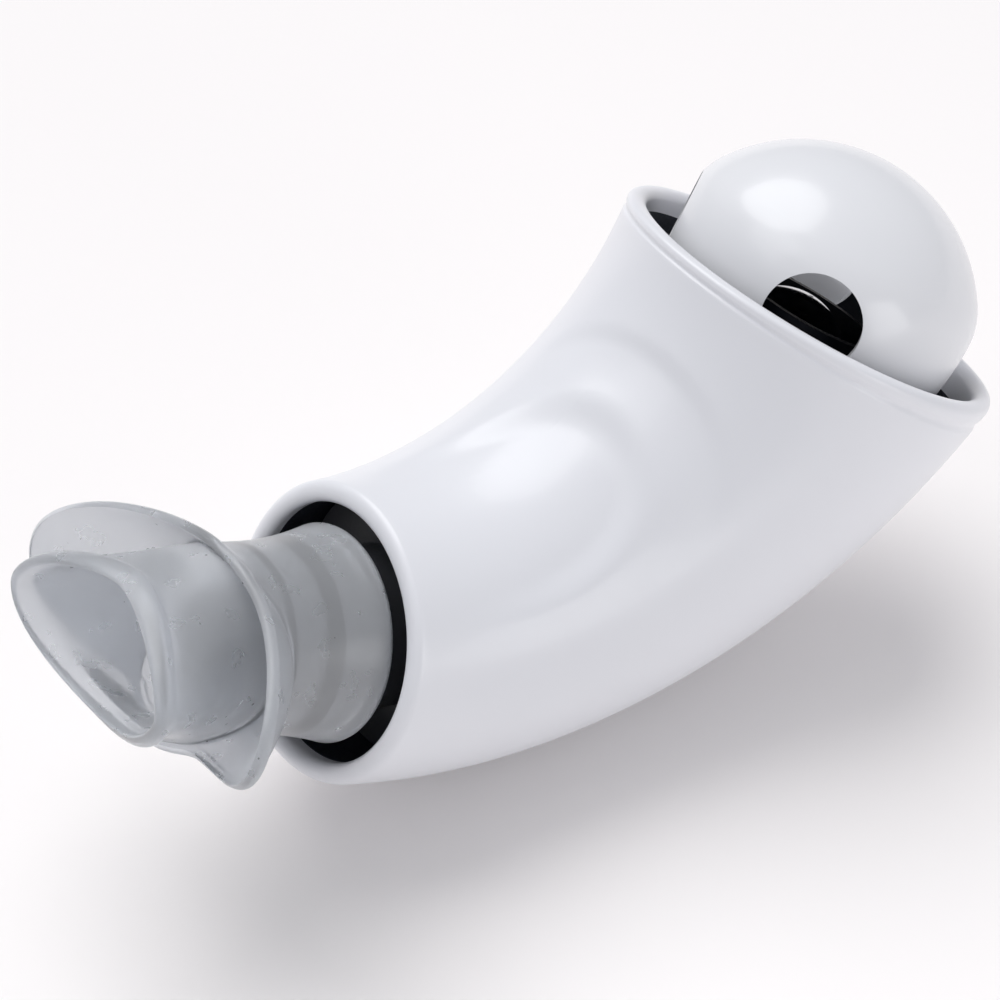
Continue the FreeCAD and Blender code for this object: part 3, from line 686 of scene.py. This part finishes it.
@dataclass
class Mouthpiece:
    """Soft mouthpiece: lip tube, bite flange and round sleeve in one moulding."""

    axis: BentAxis
    roll: float = -7.4
    sides: int = 160
    lips: Oval = Oval(-38.5, 18.9, 10.3, 1.65, 0.3, 0.0063, 0.0677, -0.07)
    lip_wall: float = 1.9
    lip_depth: float = 0.95
    lip_neck: float = 0.9
    lip_waist: float = 2.4
    flange: Oval = Oval(-11.2, 28.2, 12.8, 2.1, 0.7, -0.0222, -0.06, 0.137)
    flange_thickness: float = 1.8
    flange_least: float = 0.4
    flange_blend: float = 0.8
    fillet: float = 1.0
    neck_radius: float = 12.5
    end_along: float = 1.2
    end_radius: float = 14.5
    bead: float = 2.4
    flare_start: float = -13.0
    bore: float = 9.0
    socket: float = 11.08
    socket_depth: float = 13.3
    socket_taper: float = 80.0
    socket_lead: float = 0.7
    bead_inset: float = 0.6
    bore_lead: float = 0.4

    def shape(self, curve: Curve) -> Shape:
        """Place a curve in the frame.

        Args:
            curve: the curve in the mouthpiece's own directions.

        Returns:
            The hoop's shape.
        """
        inward = self.axis.tangent(0.0)
        upward = self.axis.hollow(0.0)
        cosine = math.cos(math.radians(self.roll))
        sine = math.sin(math.radians(self.roll))

        def hoop(angle: float) -> Vector:
            along, across, up = curve(angle)
            side = -across * cosine - up * sine
            high = -across * sine + up * cosine
            return self.axis.mouth + (inward * along + Vector((0.0, side, 0.0)) + upward * high) * MM

        return hoop

    def lip_front(self) -> List[Curve]:
        """Rounded front edge of the lips, from the outside to the passage."""
        hoops = []
        for step in range(11):
            turn = math.pi * step / 10
            inset = self.lip_wall / 2 * (1 - math.cos(turn))
            nose = self.lip_depth * math.sin(turn)
            hoops.append(self.lips.grown(-inset, self.lip_depth - nose).place)
        return hoops

    def root(self, shift: float, grow: float = 0.0) -> Curve:
        """Where the flange's faces meet the tube."""
        radius = self.neck_radius + grow
        return replace(
            self.flange, along=self.flange.along + shift, half_width=radius, half_height=radius,
            power=2.0, lift=0.0).place

    def lip_outside(self) -> List[Curve]:
        """Outside of the lip tube from the lips back to the flange."""
        front = self.lips.grown(0.0, self.lip_depth).place
        waist = self.lips.grown(-self.lip_neck, self.lip_depth + self.lip_waist).place
        root = self.root(-self.flange_thickness / 2 - self.fillet)
        hoops = [between(front, waist, ease(step / 5), step / 5) for step in range(1, 6)]
        hoops += [between(waist, root, ease(step / 16) * 0.5 + step / 32, step / 16) for step in range(1, 16)]
        return hoops

    def plate(self, distance: float, share: float, shift: float) -> Curve:
        """Curve on a face of the flange.

        Args:
            distance: from the tube outward, in millimetres.
            share: how far from there on to the rim, 0 to 1.
            shift: place along, from the flange's middle.

        Returns:
            The curve.
        """
        rim = self.flange.grown(-self.flange_thickness / 2)

        def curve(angle: float) -> Place:
            cosine = math.cos(angle)
            sine = math.sin(angle)
            inner = Vector((cosine, sine)) * self.neck_radius
            _, across, up = rim.place(angle)
            outer = Vector((across, up))
            least = self.neck_radius + self.flange_least
            gap = outer.length - least
            reach = least + (gap + math.sqrt(gap * gap + self.flange_blend)) / 2
            outer = outer.normalized() * reach
            start = min(distance / (outer - inner).length, 0.5)
            flat = inner + (outer - inner) * (start + (1.0 - start) * share)
            bow = self.flange.bowed(flat.x, flat.y)
            return bow + shift, flat.x, flat.y

        return curve

    def rim(self) -> List[Curve]:
        """Round outer edge of the flange."""
        half = self.flange_thickness / 2
        edge = self.plate(self.fillet, 1.0, 0.0)
        hoops = []
        for step in range(9):
            turn = math.pi * step / 8
            swell = half * math.sin(turn)
            shift = -half * math.cos(turn)

            def curve(angle: float, swell: float = swell, shift: float = shift) -> Place:
                along, across, up = edge(angle)
                out = Vector((across, up)).normalized() * swell
                return along + shift, across + out.x, up + out.y

            hoops.append(curve)
        return hoops

    def bite_flange(self) -> List[Curve]:
        """Both faces of the flange, its fillets and its rounded rim."""
        half = self.flange_thickness / 2
        front = []
        for step in range(5):
            turn = math.pi / 2 * step / 4
            distance = self.fillet * (1 - math.cos(turn))
            front.append(self.plate(distance, 0.0, -half - self.fillet * (1 - math.sin(turn))))
        front += [self.plate(self.fillet, step / 12, -half) for step in range(1, 12)]
        back = [self.plate(self.fillet, step / 12, half) for step in range(11, 0, -1)]
        for step in range(4, -1, -1):
            turn = math.pi / 2 * step / 4
            distance = self.fillet * (1 - math.cos(turn))
            back.append(self.plate(distance, 0.0, half + self.fillet * (1 - math.sin(turn))))
        return front + self.rim() + back

    def sleeve(self) -> List[Curve]:
        """Outside of the sleeve with the rounded bead at its open end."""
        start = self.root(self.flange_thickness / 2 + self.fillet)
        crown = self.end_along - self.bead / 2
        hoops = []
        for step in range(1, 21):
            share = step / 20

            def curve(angle: float, share: float = share) -> Place:
                along = start(angle)[0] * (1 - share) + crown * share
                flare = min(max((along - self.flare_start) / (crown - self.flare_start), 0.0), 1.0)
                radius = self.neck_radius + (self.end_radius - self.neck_radius) * flare ** 2.0
                return along, radius * math.cos(angle), radius * math.sin(angle)

            hoops.append(curve)
        for step in range(1, 9):
            turn = math.pi / 2 * step / 8
            radius = self.end_radius - self.bead / 2 * (1 - math.cos(turn))
            hoops.append(ring(crown + self.bead / 2 * math.sin(turn), radius))
        return hoops

    def passage(self) -> List[Curve]:
        """Socket for the connector's cone and the passage to the lips."""
        edge = self.end_radius - self.bead / 2 - self.bead_inset
        hoops = [ring(self.end_along, edge)]
        hoops.append(ring(self.end_along, self.socket + self.socket_lead))
        hoops.append(ring(self.end_along - self.socket_lead, self.socket))
        for step in range(1, 7):
            radius = self.socket - self.socket_depth / self.socket_taper * step / 6
            run = (self.socket_depth - self.socket_lead) * step / 6
            hoops.append(ring(self.end_along - self.socket_lead - run, radius))
        bottom = -self.socket_depth
        hoops.append(ring(bottom, self.bore + self.bore_lead))
        hoops.append(ring(bottom - self.bore_lead, self.bore))
        hoops.append(ring(bottom - 1.5, self.bore))
        start = ring(bottom - 3.0, self.bore)
        finish = self.lips.grown(-self.lip_wall, self.lip_depth).place
        hoops += [between(start, finish, ease(step / 20) * 0.6 + step / 50, step / 20) for step in range(20)]
        return hoops

    def build(self, wardrobe: Wardrobe) -> None:
        """Model the mouthpiece and put it on its body."""
        curves = self.lip_front()[:1] + self.lip_outside() + self.bite_flange() + self.sleeve() + self.passage()
        curves += list(reversed(self.lip_front()))
        piece = Bench.loft("mouthpiece_soft", [self.shape(curve) for curve in curves], self.sides, closed=True)
        Bench.smooth(piece, 40.0)
        wardrobe.dress(piece, Plastic.SOFT)
        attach(piece, "mouth")
        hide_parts("mouthpiece")
        LOG.info("built %s", piece.name)


@dataclass
class Cap:
    """Round perforated cap with a collar, lugs and a stop post."""

    origin: Vector
    axis: Vector
    side: Vector
    radius: float = 22.5
    half_height: float = 19.2
    centre_rise: float = 1.35
    shoulder_start: float = 12.0
    shoulder: float = 10.9
    wall: float = 1.9
    collar: float = 14.5
    foot: float = -21.9
    vent_radius: float = 6.75
    vent_dip: float = 3.0
    vent_turn: float = 41.0
    vents: int = 4
    vent_edge: float = 0.6
    lugs: int = 3
    lug_reach: float = 1.2
    lug_low: float = -21.6
    lug_height: float = 2.5
    lug_angle: float = 26.0
    post_radius: float = 4.0
    post_bore: float = 2.4
    post_low: float = 7.04
    bore_length: float = 4.2
    tip: float = 0.4
    cutter_in: float = 10.0
    cutter_out: float = 6.0
    lug_root: float = 0.4
    sides: int = 224

    def profile(self, shrink: float, foot_radius: float) -> List[Tuple[float, float]]:
        """Radius and height of points from the foot over the shoulder to the crown.

        Args:
            shrink: how far inside the outer skin.
            foot_radius: radius where the profile starts.

        Returns:
            The points, from the foot up.
        """
        start = math.radians(self.shoulder_start)
        reach = self.radius - self.shoulder
        middle = (reach * math.cos(start), self.centre_rise + reach * math.sin(start))
        peak = self.centre_rise + self.half_height
        drop = peak - middle[1]
        crown = (middle[0] ** 2 + drop ** 2 - self.shoulder ** 2) / (2 * (drop - self.shoulder))
        lean = math.atan2(middle[1] - (peak - crown), middle[0])
        low = -math.acos(foot_radius / (self.radius - shrink))
        arcs = (
            ((0.0, self.centre_rise), self.radius, low, start, 40),
            (middle, self.shoulder, start, lean, 26),
            ((0.0, peak - crown), crown, lean, math.pi / 2, 22),
        )
        points = []
        for (across, height), radius, first, last, steps in arcs:
            for step in range(steps):
                angle = first + (last - first) * step / steps
                size = radius - shrink
                points.append((across + size * math.cos(angle), height + size * math.sin(angle)))
        return points

    def hoop(self, radius: float, height: float) -> Shape:
        """Round hoop about the bowl's axis, sizes in millimetres."""
        across = Vector((0.0, 1.0, 0.0))

        def shape(angle: float) -> Vector:
            flat = self.side * math.cos(angle) + across * math.sin(angle)
            return self.origin + (flat * radius + self.axis * height) * MM

        return shape

    def lathe(self, name: str, points: Sequence[Tuple[float, float]], sides: int) -> bpy.types.Object:
        """Closed solid from a profile of radius and height."""
        return Bench.loft(name, [self.hoop(*point) for point in points], sides, closed=False)

    def shell(self) -> bpy.types.Object:
        """Cap without its vents.

        Returns:
            The shell with its collar open at the foot.
        """
        peak = self.centre_rise + self.half_height
        inner = self.collar - self.wall
        outer_points = [(self.collar, self.foot)] + self.profile(0.0, self.collar) + [(self.tip, peak)]
        inner_points = [(inner, self.foot - 1.0)] + self.profile(self.wall, inner) + [(self.tip, peak - self.wall)]
        shell = self.lathe("cap_vented", outer_points, self.sides)
        Bench.cut(shell, self.lathe("cap_core", inner_points, self.sides))
        return shell

    def inside(self, centre: Vector, normal: Vector) -> bool:
        """Whether a face lies on the cap's inner side and gets the painted shade, seen from its centre and normal.
        """
        out = centre - self.origin - self.axis * self.centre_rise * MM
        return out.length < (self.radius - self.wall * 0.8) * MM and normal.dot(out) < 0.5 * out.length

    def vent(self, azimuth: float) -> bpy.types.Object:
        """Round cutter for one vent."""
        dip = math.radians(self.vent_dip)
        flat = self.side * math.cos(azimuth) + Vector((0.0, 1.0, 0.0)) * math.sin(azimuth)
        heading = flat * math.cos(dip) - self.axis * math.sin(dip)
        centre = self.origin + self.axis * self.centre_rise * MM
        start = centre + heading * (self.radius - self.cutter_in) * MM
        end = centre + heading * (self.radius + self.cutter_out) * MM
        return Bench.cylinder("vent_cutter", self.vent_radius * MM, start, end, 96)

    def lug(self, azimuth: float) -> bpy.types.Object:
        """One bayonet lug on the collar."""
        half = math.radians(self.lug_angle) / 2
        low = self.lug_low
        high = low + self.lug_height
        inner = self.collar - self.lug_root
        outer = self.collar + self.lug_reach
        across = Vector((0.0, 1.0, 0.0))
        corners = ((inner, low), (outer, low), (outer, high), (inner, high))

        def shape(angle: float) -> Vector:
            step = round(angle / TURN * 64)
            edge, place = divmod(step, 16)
            first = corners[edge % 4]
            last = corners[(edge + 1) % 4]
            radius = first[0] + (last[0] - first[0]) * place / 16
            height = first[1] + (last[1] - first[1]) * place / 16
            return Vector((radius, height, 0.0))

        def turned(turn: float) -> Shape:
            def hoop(angle: float) -> Vector:
                flat = shape(angle)
                heading = self.side * math.cos(turn) + across * math.sin(turn)
                return self.origin + (heading * flat.x + self.axis * flat.y) * MM
            return hoop

        turns = [azimuth - half + 2 * half * step / 12 for step in range(13)]
        return Bench.loft("lug", [turned(turn) for turn in turns], 64, closed=False)

    def build(self, wardrobe: Wardrobe) -> None:
        """Model the cap and put it on its body."""
        piece = self.shell()
        for index in range(self.vents):
            Bench.cut(piece, self.vent(math.radians(self.vent_turn) + TURN * index / self.vents))
        bevel = piece.modifiers.new("edge", "BEVEL")
        bevel.width = self.vent_edge * MM
        bevel.segments = 4
        bevel.limit_method = "ANGLE"
        bevel.angle_limit = math.radians(40.0)
        Bench.apply(piece, bevel)
        top = self.centre_rise + self.half_height - self.wall / 2
        post = self.lathe("post", [(self.post_radius, self.post_low), (self.post_radius, top)], 64)
        bore_top = self.post_low + self.bore_length
        bore = self.lathe("bore", [(self.post_bore, self.post_low - 1.0), (self.post_bore, bore_top)], 48)
        Bench.cut(post, bore)
        Bench.cut(piece, post, "UNION")
        for index in range(self.lugs):
            Bench.cut(piece, self.lug(TURN * index / self.lugs), "UNION")
        Bench.smooth(piece, 35.0)
        wardrobe.dress(piece, Plastic.CAP)
        # Painted shade: the cap's inner faces go near-black, though the cap is white plastic.
        wardrobe.line(piece, Plastic.DARK_INSIDE, self.inside)
        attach(piece, "cap")
        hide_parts("cap")
        LOG.info("built %s", piece.name)


@dataclass
class Studio:
    """Pale floor, soft light and the camera at the photograph's angle."""

    eye: Vector = field(default_factory=lambda: Vector((-138.434, -195.512, 256.083)) * MM)
    right: Vector = field(default_factory=lambda: Vector((0.828116, -0.560557, 0.0)))
    up: Vector = field(default_factory=lambda: Vector((0.379821, 0.561113, 0.735451)))
    back: Vector = field(default_factory=lambda: Vector((-0.412262, -0.609039, 0.677578)))
    focal_share: float = 2.4
    floor_half: float = 3.0
    floor_colour: Colour = (0.92, 0.89, 0.88, 1.0)
    floor_glow: float = 0.04
    sky_colour: Colour = (0.92, 0.94, 1.0, 1.0)
    sky_strength: float = 0.43
    sun_heading: Place = (0.05, 0.46, 0.88)
    sun_spread: float = 50.0
    sun_strength: float = 1.80
    box_place: Place = (-0.30, 0.10, 0.60)
    box_target: Place = (-0.02, 0.0, 0.03)
    box_size: float = 0.40
    box_watts: float = 0.6
    fill_place: Place = (0.12, -0.60, 0.14)
    fill_target: Place = (0.0, 0.0, 0.04)
    fill_size: float = 0.30
    fill_watts: float = 0.75

    def camera(self) -> None:
        """Place the camera."""
        data = bpy.data.cameras.new("camera")
        data.sensor_width = 36.0
        data.lens = data.sensor_width * self.focal_share
        data.clip_start = 0.01
        camera = bpy.data.objects.new("camera", data)
        bpy.context.scene.collection.objects.link(camera)
        turn = Matrix((self.right, self.up, self.back)).transposed().to_4x4()
        camera.matrix_world = Matrix.Translation(self.eye) @ turn
        bpy.context.scene.camera = camera

    def floor(self) -> None:
        """Pale floor that keeps the shadow."""
        Bench.clear()
        bpy.ops.mesh.primitive_plane_add(size=2 * self.floor_half)
        floor = bpy.context.object
        floor.name = "floor"
        nodes = Nodes("pale_floor")
        diffuse = nodes.add("ShaderNodeBsdfDiffuse", Color=self.floor_colour)
        glow = nodes.add("ShaderNodeEmission", Color=(1.0, 1.0, 1.0, 1.0), Strength=self.floor_glow)
        both = nodes.tree.nodes.new("ShaderNodeAddShader")
        nodes.link(diffuse.outputs["BSDF"], both.inputs[0])
        nodes.link(glow.outputs["Emission"], both.inputs[1])
        nodes.link(both.outputs["Shader"], nodes.output.inputs["Surface"])
        floor.data.materials.append(nodes.material)

    def world(self) -> None:
        """Even pale surroundings."""
        world = bpy.data.worlds.new("surroundings")
        world.use_nodes = True
        background = world.node_tree.nodes["Background"]
        background.inputs["Color"].default_value = self.sky_colour
        background.inputs["Strength"].default_value = self.sky_strength
        bpy.context.scene.world = world

    def lamp(self, name: str, place: Sequence[float], target: Sequence[float], size: float, watts: float) -> None:
        """Square soft lamp that faces a point.

        Args:
            name: the lamp's name.
            place: where it hangs, in metres.
            target: the point it faces.
            size: its side in metres.
            watts: its power.
        """
        data = bpy.data.lights.new(name, "AREA")
        data.size = size
        data.energy = watts
        lamp = bpy.data.objects.new(name, data)
        bpy.context.scene.collection.objects.link(lamp)
        lamp.location = place
        lamp.rotation_euler = (Vector(target) - Vector(place)).to_track_quat("-Z", "Y").to_euler()

    def sun(self, name: str, heading: Sequence[float], spread: float, strength: float) -> None:
        """Wide soft sun for an even floor.

        Args:
            name: the lamp's name.
            heading: where it comes from.
            spread: its width in degrees.
            strength: its strength.
        """
        data = bpy.data.lights.new(name, "SUN")
        data.angle = math.radians(spread)
        data.energy = strength
        lamp = bpy.data.objects.new(name, data)
        bpy.context.scene.collection.objects.link(lamp)
        lamp.rotation_euler = Vector(heading).to_track_quat("Z", "Y").to_euler()

    def build(self) -> None:
        """Set up the whole studio."""
        self.camera()
        self.floor()
        self.world()
        self.sun("overhead", self.sun_heading, self.sun_spread, self.sun_strength)
        self.lamp("left_box", self.box_place, self.box_target, self.box_size, self.box_watts)
        self.lamp("low_fill", self.fill_place, self.fill_target, self.fill_size, self.fill_watts)
        bpy.context.scene.view_settings.view_transform = "Standard"


def joint(name: str) -> Dict[str, object]:
    """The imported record's entry for a joint."""
    return next(entry for entry in frame["record"]["behaviour"]["joints"] if entry["name"] == name)


def main() -> None:
    """Build the pieces in order, then the studio."""
    logging.basicConfig(level=logging.INFO, format="%(message)s")
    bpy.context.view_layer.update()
    mouth = joint("mouthpiece_turn")
    bowl = joint("cap_turn")
    outward = Vector(mouth["axis"])
    heading = math.atan2(-outward.z, -outward.x)
    axis = BentAxis(Vector(mouth["pos_m"]), heading, radius=BEND_RADIUS, length=BEND_ANGLE * BEND_RADIUS)
    wardrobe = Wardrobe()
    Casing(axis).build(wardrobe)
    Mouthpiece(axis).build(wardrobe)
    bowl_axis = Vector(bowl["axis"])
    side = Vector((bowl_axis.z, 0.0, -bowl_axis.x))
    Cap(Vector(bowl["pos_m"]), bowl_axis, side).build(wardrobe)
    wardrobe.dress_nodes({
        "screw_plugs": Plastic.CASING,
        "casing_screws": Plastic.SCREW,
        "mouthpiece_seal": Plastic.RUBBER,
        # Connector coloured near-black as painted shade in the mouth's gap.
        "inlet_connector": Plastic.CONNECTOR,
        "connector_seal": Plastic.RUBBER,
        "air_duct": Plastic.DUCT,
        "duct_grommets": Plastic.RUBBER,
        "duct_seal": Plastic.RUBBER,
        "valve_body": Plastic.VALVE,
        "lock_ring": Plastic.VALVE,
        "lock_screws": Plastic.SCREW,
        "funnel_seal": Plastic.RUBBER,
        "funnel": Plastic.FUNNEL,
        "ball": Plastic.BALL,
        "cap_seal": Plastic.RUBBER,
        "ball_stop": Plastic.FUNNEL,
    })
    Studio().build()


if __name__ == "__main__":
    main()
